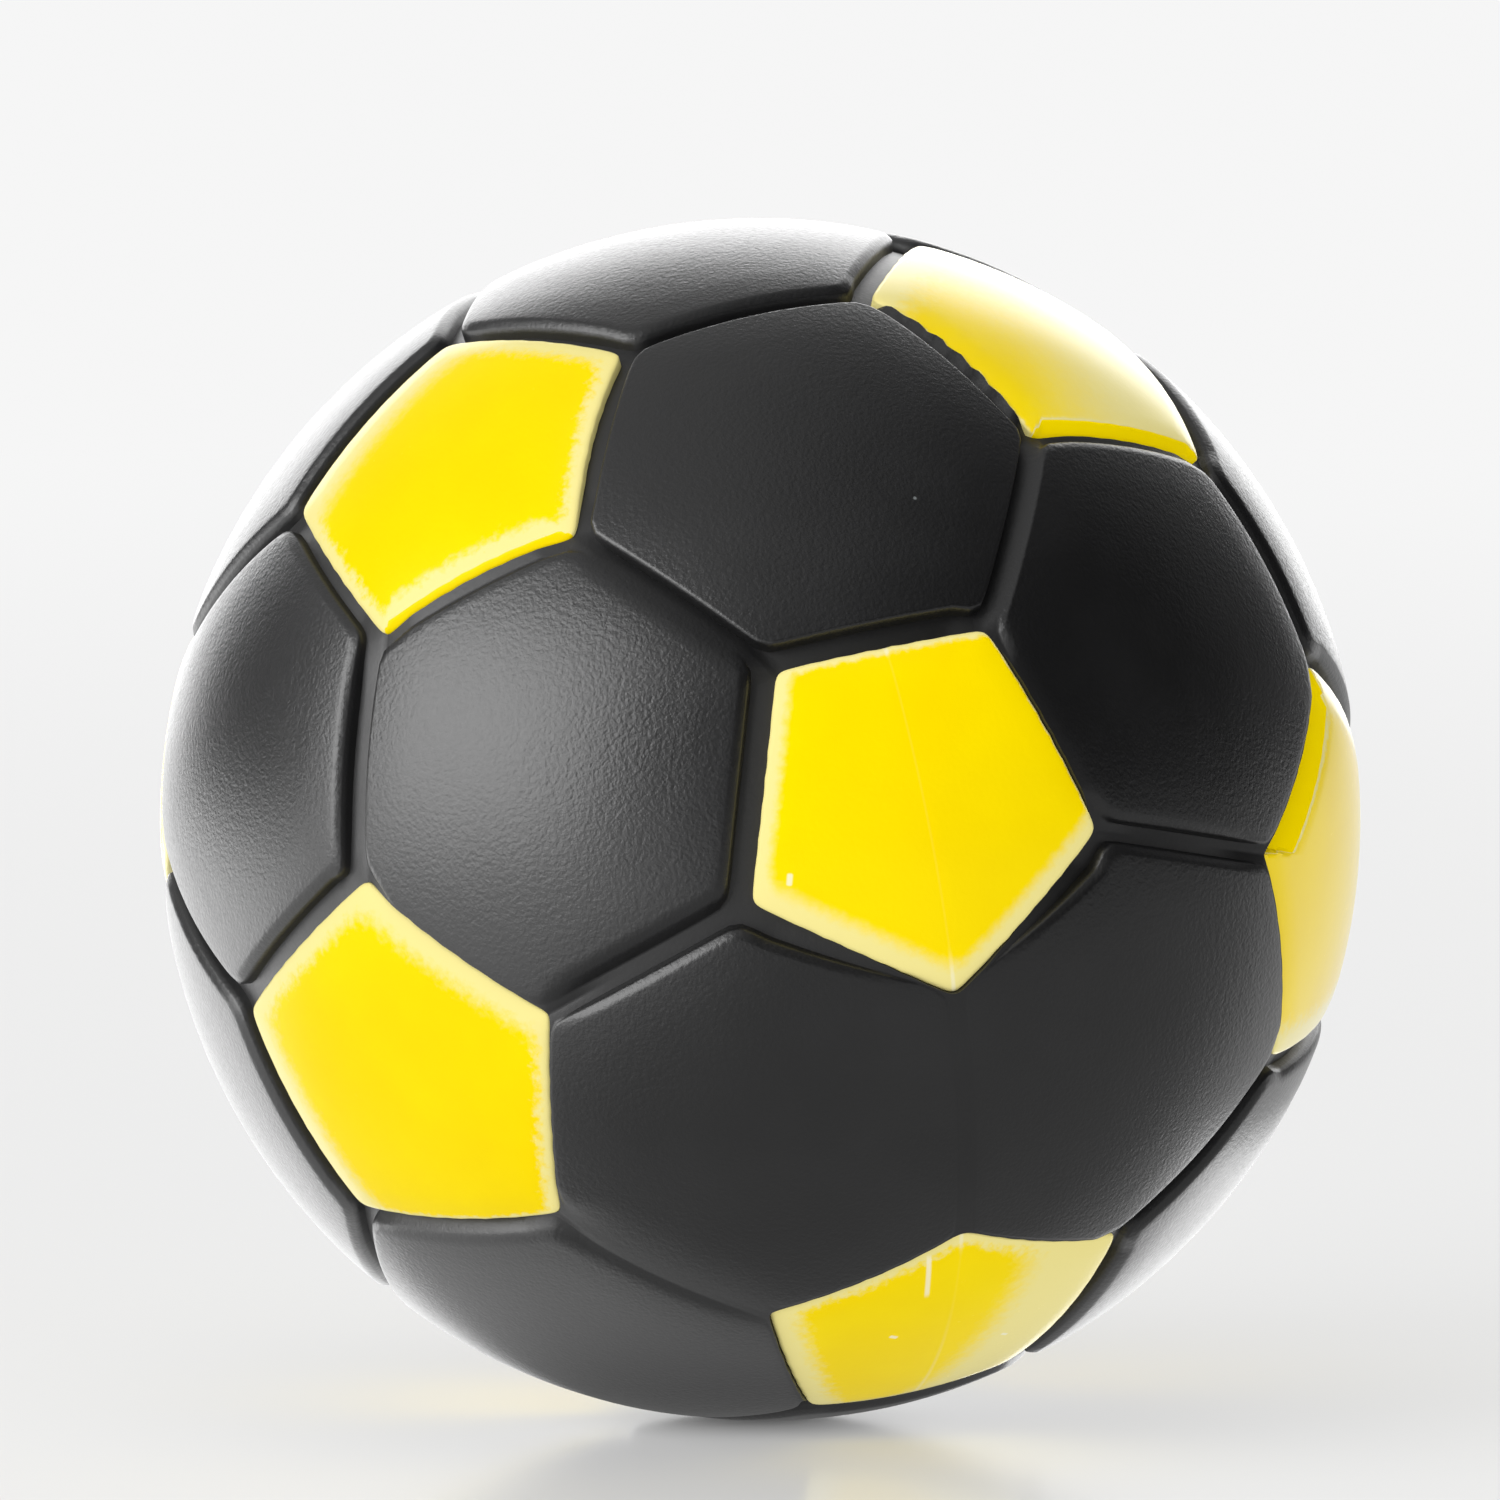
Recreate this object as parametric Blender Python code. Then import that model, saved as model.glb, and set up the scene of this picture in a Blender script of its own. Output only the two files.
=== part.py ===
"""Table-football ball made of two mouldings.

A yellow core is moulded first, with twelve pads standing on it. A black skin is moulded over the core,
and the pads show through its twelve windows. Both pieces start from one cage, a truncated icosahedron:
an icosahedron whose corners are cut off at a third of each edge, which leaves twelve pentagons and
twenty hexagons.

In the cage's own frame the front pad's axis is +Z, and the moulds part on the plane Y = 0.
"""

import math

import bmesh
import bpy
from mathutils import Matrix, Vector

# The ball and its two mouldings, in metres
BALL_DIAMETER = 0.035
SKIN_THICKNESS = 0.0024
BOND_GAP = 0.0003

# Grooves between the black panels: a flat floor, a sloping wall and a rounded shoulder on either side
GROOVE_DEPTH = 0.00045
GROOVE_FLOOR = 0.0006
WALL_WIDTH = 0.00018
SHOULDER_WIDTH = 0.0002
SHOULDER_DROP = 0.00012

# Pads: how far a pad's side stands inside its seam, and the rounded rim round its face
PAD_MARGIN = 0.0004
RIM_WIDTH = 0.00035
RIM_DROP = 0.00018

# How the ball lies, in degrees: the front pad's turn to the right, its rise, and the parting line's lean
FRONT_PAD_TURN = 15.7
FRONT_PAD_RISE = 6.2
PARTING_LINE_LEAN = 10.4

# Facets along one side of a panel, and the length below which a cage edge is left whole
SIDE_SEGMENTS = 4
SHORT_EDGE = 0.0018

# How far the window cutter reaches out of the ball
CUTTER_REACH = 0.001

# Share of an icosahedron's edge that each cut corner takes, in percent
CORNER_CUT = 100 / 3

# Edges that turn by more than this many degrees are shaded sharp
SHARP_TURN = 30

BALL_RADIUS = BALL_DIAMETER / 2
SKIN_INNER_RADIUS = BALL_RADIUS - SKIN_THICKNESS
CORE_RADIUS = SKIN_INNER_RADIUS - BOND_GAP
FLOOR_RADIUS = BALL_RADIUS - GROOVE_DEPTH

YELLOW = (0.93, 0.70, 0.0, 1.0)
YELLOW_ROUGHNESS = 0.3
BLACK = (0.018, 0.018, 0.019, 1.0)
BLACK_ROUGHNESS = 0.5


def new_cage(radius):
    """A truncated icosahedron on the ball's sphere, with a layer for the radius that each point ends at."""
    bm = bmesh.new()
    bmesh.ops.create_icosphere(bm, subdivisions=1, radius=BALL_RADIUS)
    bmesh.ops.bevel(
        bm, geom=bm.verts[:], offset=CORNER_CUT, offset_type="PERCENT", affect="VERTICES", segments=1
    )
    reach = bm.verts.layers.float.new("radius")
    for vert in bm.verts:
        vert.co = vert.co.normalized() * BALL_RADIUS
        vert[reach] = radius
    return bm, reach


def pentagons(bm):
    return [face for face in bm.faces if len(face.verts) == 5]


def panels(bm):
    """The hexagons, each alone, but for the two below the front pad, which have no groove between them."""
    front_pad = Vector((0, 0, 1))
    side_pads = [face.calc_center_median().normalized() for face in pentagons(bm)]
    lower_pad = max(side_pads, key=lambda axis: axis.x if axis.z > 0 else -1)
    closed_seam = (front_pad + lower_pad).normalized() * BALL_RADIUS
    edge = min(bm.edges, key=lambda e: ((e.verts[0].co + e.verts[1].co) / 2 - closed_seam).length)
    double_panel = list(edge.link_faces)
    single_panels = [[face] for face in bm.faces if len(face.verts) == 6 and face not in double_panel]
    return [double_panel] + single_panels


def step_in(bm, reach, faces, arc, radius):
    """Insets faces by an arc of the ball's surface, and sets the radius that their new outline ends at.

    An arc is shorter than the same width on a flat face of the cage, by the face's distance from the
    centre times the ball's radius over the square of the distance to the middle of a side.
    """
    face = faces[0]
    face_distance = face.calc_center_median().length
    side = face.edges[0]
    side_distance = ((side.verts[0].co + side.verts[1].co) / 2).length
    width = arc * side_distance**2 / (face_distance * BALL_RADIUS)
    bmesh.ops.inset_region(bm, faces=faces, thickness=width, use_even_offset=True, use_boundary=True)
    for vert in {vert for face in faces for vert in face.verts}:
        vert[reach] = radius


def round_off(bm, reach):
    """Divides the cage's long edges, and puts every point on the sphere of its own radius."""
    fans = bmesh.ops.poke(bm, faces=[face for face in bm.faces if len(face.verts) > 4])
    for vert in fans["verts"]:
        vert[reach] = vert.link_edges[0].other_vert(vert)[reach]
    long_edges = [edge for edge in bm.edges if edge.calc_length() > SHORT_EDGE]
    bmesh.ops.subdivide_edges(bm, edges=long_edges, cuts=SIDE_SEGMENTS - 1, use_grid_fill=True)
    for vert in bm.verts:
        vert.co = vert.co.normalized() * vert[reach]
    bmesh.ops.triangulate(bm, faces=bm.faces[:])
    bmesh.ops.recalc_face_normals(bm, faces=bm.faces[:])


def panel_ball():
    """The whole ball as the black moulding's cavity shapes it: panels with grooves between them."""
    bm, reach = new_cage(FLOOR_RADIUS)
    for panel in panels(bm):
        step_in(bm, reach, panel, GROOVE_FLOOR / 2, FLOOR_RADIUS)
        step_in(bm, reach, panel, WALL_WIDTH, BALL_RADIUS - SHOULDER_DROP)
        step_in(bm, reach, panel, SHOULDER_WIDTH, BALL_RADIUS)
    round_off(bm, reach)
    return bm


def padded_core(core_radius, pad_margin, pad_rim_radius, pad_face_radius):
    """A ball with twelve pads: each has straight sides, a rim of its own radius, and a face."""
    bm, reach = new_cage(core_radius)
    for pad in pentagons(bm):
        step_in(bm, reach, [pad], pad_margin, core_radius)
        raised = bmesh.ops.extrude_discrete_faces(bm, faces=[pad])["faces"]
        for vert in raised[0].verts:
            vert[reach] = pad_rim_radius
        step_in(bm, reach, raised, RIM_WIDTH, pad_face_radius)
    round_off(bm, reach)
    return bm


def new_material(name, colour, roughness):
    material = bpy.data.materials.new(name)
    material.use_nodes = True
    shader = material.node_tree.nodes["Principled BSDF"]
    shader.inputs["Base Color"].default_value = colour
    shader.inputs["Roughness"].default_value = roughness
    shader.inputs["Metallic"].default_value = 0.0
    material.diffuse_color = colour
    return material


def new_object(name, bm, collection, parent):
    mesh = bpy.data.meshes.new(name)
    bm.to_mesh(mesh)
    bm.free()
    mesh.shade_smooth()
    mesh.set_sharp_from_angle(angle=math.radians(SHARP_TURN))
    piece = bpy.data.objects.new(name, mesh)
    piece.parent = parent
    collection.objects.link(piece)
    return piece


def new_collection(name):
    collection = bpy.data.collections.new(name)
    bpy.context.scene.collection.children.link(collection)
    return collection


for old in list(bpy.data.objects):
    bpy.data.objects.remove(old)

ball = new_collection("foosball_ball")
cutters = new_collection("cutters")

# The ball's centre, turned to how the ball lies
attitude = bpy.data.objects.new("ball_attitude", None)
attitude.matrix_world = (
    Matrix.Rotation(math.radians(FRONT_PAD_TURN), 4, "Z")
    @ Matrix.Rotation(math.radians(90 - FRONT_PAD_RISE), 4, "X")
    @ Matrix.Rotation(math.radians(PARTING_LINE_LEAN - 90), 4, "Z")
)
ball.objects.link(attitude)

# First moulding: the solid yellow core with its twelve pads
core = new_object(
    "yellow_core", padded_core(CORE_RADIUS, PAD_MARGIN, BALL_RADIUS - RIM_DROP, BALL_RADIUS), ball, attitude
)
core.data.materials.append(new_material("yellow_plastic", YELLOW, YELLOW_ROUGHNESS))

# Second moulding: the black skin, which is the panel ball less the core and the bond gap round it
skin = new_object("black_skin", panel_ball(), ball, attitude)
skin.data.materials.append(new_material("black_plastic", BLACK, BLACK_ROUGHNESS))

cutter_reach = BALL_RADIUS + CUTTER_REACH
core_cutter = new_object(
    "core_cutter",
    padded_core(SKIN_INNER_RADIUS, PAD_MARGIN - BOND_GAP, cutter_reach, cutter_reach),
    cutters,
    attitude,
)
core_cutter.hide_render = True
core_cutter.display_type = "WIRE"

windows = skin.modifiers.new("windows", "BOOLEAN")
windows.operation = "DIFFERENCE"
windows.solver = "EXACT"
windows.object = core_cutter
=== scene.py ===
"""Foosball ball: a yellow core with twelve pads, moulded over with a black skin of twenty panels.

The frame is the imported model's own: metres, +Z up, and the ball's centre at the origin. The photograph's
camera stands on the -Y side.
"""

import itertools
import math

import bpy
import numpy as np
from mathutils import Matrix, Quaternion, Vector


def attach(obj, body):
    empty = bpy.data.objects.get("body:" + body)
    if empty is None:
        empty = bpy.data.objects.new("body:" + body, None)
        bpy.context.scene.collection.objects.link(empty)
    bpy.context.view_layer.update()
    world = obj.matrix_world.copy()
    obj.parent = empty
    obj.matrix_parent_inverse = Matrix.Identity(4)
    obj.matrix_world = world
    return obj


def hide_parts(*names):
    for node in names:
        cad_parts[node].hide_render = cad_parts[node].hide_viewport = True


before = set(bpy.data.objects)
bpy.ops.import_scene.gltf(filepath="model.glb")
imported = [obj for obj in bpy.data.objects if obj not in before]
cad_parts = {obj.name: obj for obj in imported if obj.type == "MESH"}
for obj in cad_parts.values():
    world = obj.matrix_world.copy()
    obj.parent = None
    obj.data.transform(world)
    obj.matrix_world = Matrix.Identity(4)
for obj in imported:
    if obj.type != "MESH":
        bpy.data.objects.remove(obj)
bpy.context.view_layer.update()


# Yellow core
# The first moulding is a solid ball of glossy yellow plastic with twelve five-sided pads standing on it.
# The pads fill the windows of the black skin and come flush with the ball, so only they show.

BALL_RADIUS = 0.0175
CORE_RADIUS = 0.0148
FACE_RADIUS = BALL_RADIUS - 0.00004

# How the ball lies, in degrees: the front pad's turn to the right, its rise, and the parting line's lean
FRONT_PAD_TURN = 15.7
FRONT_PAD_RISE = 6.2
PARTING_LINE_LEAN = 10.4

# A pad's side stands inside the seam of its pentagon by a margin, and its outline is ragged by a ripple
PAD_MARGIN = 0.0004
PAD_RIPPLE = 0.00003
RIPPLES = 6
RIPPLE_SHIFT = 2
RIPPLE_STRETCH = 3
CORNER_SOFTNESS = 0.00012
FIT_GAP = 0.00001

# A pad's face is a little crowned, and its edge is rounded
CROWN_WIDTH = 0.0011
CROWN_DROP = 0.0001
RIM_WIDTH = 0.00016
RIM_DROP = 0.00008
CHAMFER_SLOPE = 0.4
CHAMFER_EDGE = 0.00006
CHAMFER_TAPER = 0.03

# The pale band round a pad's face: partly the plastic's own pale rim, partly painted reflection where
# widened
PALE_WIDTH = 0.0006
PALE_SOFTNESS = 0.2
PALE_BLUR = 0.3
RAGGED_WIDTH = 0.0005
FRONT_RAGGED_WIDTH = 0.0002
RAGGED_MOST = 1.0

# Points along one side of a pad, how even their steps are, and rows from a pad's middle to its rim, round
# its rim and over the core
PAD_SIDE_POINTS = 32
EVEN_STEPS = 0.6
FACE_ROWS = 8
RIM_ROWS = 20
RIM_START = 0.8
SIDE_ROWS = 3
BASE_ROWS = 3
OUTLINE_HALVINGS = 40

# Twelve pads of five sides, of which the first six show in front
PAD_COUNT = 12
SIDES = 5
SIDE_TURN = 2 * math.pi / SIDES
FRONT, LOWER, RIGHT, UPPER_RIGHT, UPPER_LEFT, LOWER_LEFT = range(6)


def unit(vectors):
    """Vectors divided by their lengths."""
    return vectors / np.linalg.norm(vectors, axis=-1, keepdims=True)


def turned(axis, degrees):
    """The matrix of a turn about an axis."""
    return np.array(Matrix.Rotation(math.radians(degrees), 3, axis))


def five_axes(first_turn, height):
    """Five unit axes at one height, a fifth of a turn apart."""
    turns = math.radians(first_turn) + np.arange(SIDES) * SIDE_TURN
    reach = math.sqrt(1 - height**2)
    return np.stack([reach * np.cos(turns), reach * np.sin(turns), np.full(SIDES, height)], axis=1)


# The pads' axes are the corners of an icosahedron: two poles, and two rings of five whose height is the
# cosine of the angle between neighbours. The front pad is a pole, and the lower pad is the first of the
# ring round it.
NEIGHBOUR_COSINE = 1 / math.sqrt(5)
ball_attitude = (
    turned("Z", FRONT_PAD_TURN) @ turned("X", 90 - FRONT_PAD_RISE) @ turned("Z", PARTING_LINE_LEAN - 90)
)
poles = np.array([[0, 0, 1], [0, 0, -1]])
near_ring = five_axes(0, NEIGHBOUR_COSINE)
far_ring = five_axes(180 / SIDES, -NEIGHBOUR_COSINE)
pad_axes = np.vstack([poles[:1], near_ring, far_ring, poles[1:]]) @ ball_attitude.T
parting_normal = ball_attitude @ np.array([0, 1, 0])


def neighbours(pad):
    """The five pads next to one, in order round it, counter-clockwise as seen from outside."""
    others = np.flatnonzero(np.isclose(pad_axes @ pad_axes[pad], NEIGHBOUR_COSINE))
    ahead = unit(pad_axes[others[0]] - NEIGHBOUR_COSINE * pad_axes[pad])
    aside = np.cross(pad_axes[pad], ahead)
    turns = np.arctan2(pad_axes[others] @ aside, pad_axes[others] @ ahead)
    return [int(other) for other in others[np.argsort(np.round(turns, 3) % (2 * math.pi))]]


pad_neighbours = [neighbours(pad) for pad in range(PAD_COUNT)]


def pad_frame(pad):
    """A pad's axis and two directions across it, the first of them towards its first neighbour."""
    axis = pad_axes[pad]
    ahead = unit(pad_axes[pad_neighbours[pad][0]] - NEIGHBOUR_COSINE * axis)
    return axis, ahead, np.cross(axis, ahead)


def side_towards(pad, second, third):
    """The number of the pad's side that faces the hexagon between it and two of its neighbours."""
    places = sorted([pad_neighbours[pad].index(second), pad_neighbours[pad].index(third)])
    return places[1] if places == [0, SIDES - 1] else places[0]


# The angle from a pad's axis to the middle of its pentagon's side. A corner is a third of the way to the
# next pad.
corner_angle = math.atan2(math.sqrt(1 - NEIGHBOUR_COSINE**2), 2 + NEIGHBOUR_COSINE)
side_angle = math.atan(math.tan(corner_angle) * math.cos(SIDE_TURN / 2))

# Each pad's five sides: the margins at a side's two corners, how far it bows in between them, its ripple,
# the width of its chamfer and of the pale band along it, how ragged and how blurred the band's inner edge
# is, and how far black plastic has crept up to its face
SIDE_FORM = ("start", "end", "bow", "ripple", "chamfer", "pale", "ragged", "blur", "flash")
pad_sides = np.zeros((PAD_COUNT, SIDES), [(name, float) for name in SIDE_FORM])
pad_sides["start"] = PAD_MARGIN
pad_sides["end"] = PAD_MARGIN
pad_sides["ripple"] = PAD_RIPPLE
pad_sides["pale"] = PALE_WIDTH
pad_sides["ragged"] = RAGGED_WIDTH
pad_sides["ragged"][FRONT] = FRONT_RAGGED_WIDTH
pad_sides["blur"] = PALE_BLUR


def shape_side(pad, first, second, margins=(PAD_MARGIN, PAD_MARGIN), **form):
    """Shapes a pad's side that faces the panel between it and two neighbours, with a margin near each."""
    side = side_towards(pad, first, second)
    in_order = pad_neighbours[pad][side] == first
    pad_sides["start"][pad, side], pad_sides["end"][pad, side] = margins if in_order else margins[::-1]
    for name, value in form.items():
        pad_sides[name][pad, side] = value


def far_pad(first, second):
    """The pad behind two neighbours of the front pad."""
    return next(pad for pad in pad_neighbours[first] if pad in pad_neighbours[second] and pad != FRONT)


UPPER_FAR = far_pad(UPPER_LEFT, UPPER_RIGHT)
LEFT_FAR = far_pad(UPPER_LEFT, LOWER_LEFT)
LOWER_FAR = far_pad(LOWER, LOWER_LEFT)
RIGHT_FAR = far_pad(LOWER, RIGHT)
UPPER_RIGHT_FAR = far_pad(RIGHT, UPPER_RIGHT)

shape_side(FRONT, UPPER_LEFT, LOWER_LEFT, (0.00035, 0.0003), pale=0.0006)
shape_side(FRONT, LOWER_LEFT, LOWER, (0.00034, 0.00043), pale=0.001)
shape_side(FRONT, LOWER, RIGHT, (0.00057, 0.0006), pale=0.0008)
shape_side(FRONT, RIGHT, UPPER_RIGHT, (0.00073, 0.00073), pale=0.00012)
shape_side(FRONT, UPPER_RIGHT, UPPER_LEFT, (0.00045, 0.00037), pale=0.0003)
shape_side(UPPER_LEFT, FRONT, LOWER_LEFT, (-0.00043, -0.0005), bow=0.00007, chamfer=0.0003, pale=0.0008)
shape_side(UPPER_LEFT, FRONT, UPPER_RIGHT, (-0.00002, -0.00008), bow=0.0001, pale=0.0006)
shape_side(UPPER_LEFT, UPPER_RIGHT, UPPER_FAR, (0.00067, 0.00062), pale=0.001)
shape_side(UPPER_LEFT, UPPER_FAR, LEFT_FAR, (0.0007, 0.00065), pale=0.0022)
shape_side(UPPER_LEFT, LEFT_FAR, LOWER_LEFT, (0.00036, 0.00033), pale=0.0006)
shape_side(LOWER_LEFT, FRONT, UPPER_LEFT, (-0.00062, -0.0006), pale=0.0012)
shape_side(LOWER_LEFT, FRONT, LOWER, (-0.00075, -0.00087), bow=-0.00005, pale=0.0006)
shape_side(LOWER_LEFT, LOWER, LOWER_FAR, (0.00042, 0.0004), pale=0.00025)
shape_side(LOWER_LEFT, LOWER_FAR, LEFT_FAR, (0.0005, 0.0005), pale=0.0016)
shape_side(LOWER_LEFT, LEFT_FAR, UPPER_LEFT, (0.00045, 0.00051), pale=0.0009)
shape_side(LOWER, FRONT, LOWER_LEFT, (0.00007, -0.00065), pale=0.0006)
shape_side(LOWER, LOWER_LEFT, LOWER_FAR, (0.00049, 0.00062), pale=0.0012)
shape_side(LOWER, LOWER_FAR, RIGHT_FAR, (0.00065, 0.0007))
# The wide pale band on this side is a painted reflection of the lit table beside the ball
shape_side(LOWER, RIGHT_FAR, RIGHT, (0.00078, 0.00078), pale=0.0046, blur=0.16)
shape_side(LOWER, FRONT, RIGHT, (0.0002, -0.00042), pale=0.0006)
shape_side(RIGHT, FRONT, LOWER, (-0.001, -0.00095), pale=0.0001)
shape_side(RIGHT, FRONT, UPPER_RIGHT, (-0.00088, -0.001), chamfer=0.0012, pale=0.00003)
# The widened pale bands on the right pad's far sides are a mild painted reflection of the bright room
shape_side(RIGHT, UPPER_RIGHT, UPPER_RIGHT_FAR, (0.0003, 0.0004), pale=0.0014)
shape_side(RIGHT, UPPER_RIGHT_FAR, RIGHT_FAR, pale=0.0014)
shape_side(RIGHT, RIGHT_FAR, LOWER, (0.0004, 0.0003), pale=0.0014)
shape_side(UPPER_RIGHT, FRONT, RIGHT, (-0.00037, -0.00042), chamfer=0.00048, pale=0.0001)
shape_side(
    UPPER_RIGHT, FRONT, UPPER_LEFT, (-0.00075, -0.00012), bow=0.00005, ripple=0.0002, pale=0.0001, flash=0.9
)
# The wide pale bands on the upper right pad's far sides are a painted reflection of the bright room
shape_side(UPPER_RIGHT, UPPER_LEFT, UPPER_FAR, (0.00045, 0.0004), pale=0.0014)
shape_side(UPPER_RIGHT, UPPER_FAR, UPPER_RIGHT_FAR, pale=0.007)
shape_side(UPPER_RIGHT, UPPER_RIGHT_FAR, RIGHT, (0.0005, 0.00038), pale=0.007)
shape_side(LEFT_FAR, UPPER_LEFT, LOWER_LEFT, (-0.0003, -0.0009), pale=0.001)

# Two pads have a glossier face than the others
pad_gloss = np.zeros(PAD_COUNT)
pad_gloss[UPPER_RIGHT] = 0.4
pad_gloss[RIGHT] = 1


def turns_round(pad, points):
    """The direction of points round a pad's axis, from 0 at its first neighbour."""
    axis, ahead, aside = pad_frame(pad)
    return np.arctan2(points @ aside, points @ ahead) % (2 * math.pi)


def smooth(values):
    """0 below 0, 1 above 1, and a smooth step between them."""
    step = np.clip(values, 0, 1)
    return step * step * (3 - 2 * step)


def side_normals(pad):
    """For each side of a pad's pentagon, the direction square to its great circle, towards the pad."""
    axis, ahead, aside = pad_frame(pad)
    middles = (np.arange(SIDES) + 0.5)[:, None] * SIDE_TURN
    outward = np.cos(middles) * ahead + np.sin(middles) * aside
    return math.sin(side_angle) * axis - math.cos(side_angle) * outward


def corner_turns(pad):
    """The directions round a pad of its corners, where a side's margin meets that of the side before it.

    A corner is a unit point whose heights over both sides' great circles are the sines of their margins: a
    sum of the two sides' normals, with the rest of the unit length square to both.
    """
    here = side_normals(pad)
    before = np.roll(here, 1, axis=0)
    height = np.sin(pad_sides[pad]["start"] / BALL_RADIUS)
    height_before = np.sin(np.roll(pad_sides[pad]["end"], 1) / BALL_RADIUS)
    cosine = here[0] @ before[0]
    part = (height - cosine * height_before) / (1 - cosine**2)
    part_before = (height_before - cosine * height) / (1 - cosine**2)
    low = part[:, None] * here + part_before[:, None] * before
    up = unit(np.cross(here, before))
    up *= np.sign(up @ pad_axes[pad])[:, None]
    corners = low + np.sqrt(1 - (low**2).sum(axis=1, keepdims=True)) * up
    even = np.arange(SIDES) * SIDE_TURN
    return even + (turns_round(pad, corners) - even + math.pi) % (2 * math.pi) - math.pi


pad_corner_turns = [corner_turns(pad) for pad in range(PAD_COUNT)]


def side_ends(corners):
    """The directions in which a pad's sides end: where the next starts, and a full turn on for the last."""
    return np.append(corners[1:], corners[0] + 2 * math.pi)


def side_places(pad, turns):
    """Where directions round a pad lie along each of its sides: 0 at the side's start, 1 at its end."""
    starts = pad_corner_turns[pad]
    ends = side_ends(starts)
    from_middle = (turns[..., None] - (starts + ends) / 2 + math.pi) % (2 * math.pi) - math.pi
    return np.clip(from_middle / (ends - starts) + 0.5, 0, 1)


def straight_margins(pad, turns):
    """How far each side of a pad stands inside its seam, in directions round it: evenly from end to end."""
    side = pad_sides[pad]
    return side["start"] + (side["end"] - side["start"]) * side_places(pad, turns)


def side_margins(pad, turns):
    """The sides' straight margins, bowed in by half a sine wave, with round bumps from a faster wave.

    The bumps are the wave's size without its sign. They are shifted from pad to pad, and get closer along
    a side.
    """
    side = pad_sides[pad]
    share = side_places(pad, turns)
    bumps = np.abs(np.sin(math.pi * RIPPLES * share + RIPPLE_SHIFT * pad + RIPPLE_STRETCH * share**2))
    return straight_margins(pad, turns) + np.sin(math.pi * share) * (side["bow"] + side["ripple"] * bumps)


def side_chamfers(pad, points):
    """The width of the chamfer on each side of a pad at points, which narrows to nothing at its corners."""
    share = side_places(pad, turns_round(pad, points))
    return pad_sides[pad]["chamfer"] * smooth(np.minimum(share, 1 - share) / CHAMFER_TAPER)


def inside_sides(pad, points):
    """How far points of the unit sphere lie inside each side of a pad's pentagon, along the ball's surface.

    Each side of the pentagon is a seam, a great circle across the pad's axis at the side's angle from it.
    """
    return BALL_RADIUS * np.arcsin(np.clip(points @ side_normals(pad).T, -1, 1))


def soft_least(values, softness):
    """The least of the last axis, rounded off where two values are close."""
    return -softness * np.log(np.exp(-values / softness).sum(axis=-1))


def inside_pad(pad, points):
    """How far points of the unit sphere lie inside each side of a pad, which stands inside its seam."""
    return inside_sides(pad, points) - side_margins(pad, turns_round(pad, points))


def pad_depth(pad, points):
    """How far points lie inside a pad's outline: the least distance to a side, rounded at the corners."""
    return soft_least(inside_pad(pad, points), CORNER_SOFTNESS)


def pale_band(pad, points):
    """Where points lie across the pale band, and how ragged and blurred its inner edge is there.

    The place is 0 at the band's outer edge, 1 at its inner one, and down to -1 on a chamfer.
    """
    inside = inside_pad(pad, points)
    chamfer = side_chamfers(pad, points)
    across = (inside - chamfer) / pad_sides[pad]["pale"]
    place = soft_least(across, PALE_SOFTNESS)
    nearest = np.exp((place[..., None] - across) / PALE_SOFTNESS)
    ragged = nearest @ np.minimum(pad_sides[pad]["ragged"] / pad_sides[pad]["pale"], RAGGED_MOST)
    blur = nearest @ pad_sides[pad]["blur"]
    on_chamfer = np.clip((chamfer - inside).max(axis=-1) / CHAMFER_EDGE, 0, 1)
    return np.stack([np.maximum(place, 0) * (1 - on_chamfer) - on_chamfer, ragged, blur], axis=-1)


def pad_points(pad, angles, turns):
    """Unit points at angles from the pad's axis, in directions round it."""
    axis, ahead, aside = pad_frame(pad)
    across = np.cos(turns)[..., None] * ahead + np.sin(turns)[..., None] * aside
    return np.cos(angles)[..., None] * axis + np.sin(angles)[..., None] * across


def pad_turns(corners):
    """Directions round a pad with its corners in given ones: steps along each side, closer at its ends."""
    middles = (np.arange(SIDES) + 0.5) * SIDE_TURN
    starts = np.tan(corners - middles)[:, None]
    ends = np.tan(side_ends(corners) - middles)[:, None]
    even = np.linspace(-1, 1, PAD_SIDE_POINTS, endpoint=False)
    along = (1 + EVEN_STEPS * even + (1 - EVEN_STEPS) * np.sin(even * math.pi / 2)) / 2
    return (middles[:, None] + np.arctan(starts + along * (ends - starts))).ravel()


def outline_angles(pad):
    """The angle from the pad's axis to its outline in each direction, halved down to a depth of 0."""
    turns = pad_turns(pad_corner_turns[pad])
    low = np.zeros_like(turns)
    high = np.full_like(turns, 2 * side_angle)
    for _ in range(OUTLINE_HALVINGS):
        middle = (low + high) / 2
        inside = pad_depth(pad, pad_points(pad, middle, turns)) > 0
        low = np.where(inside, middle, low)
        high = np.where(inside, high, middle)
    return (low + high) / 2


CORE_FINISH = ("pale_place", "pale_ragged", "pale_blur", "gloss")


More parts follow.
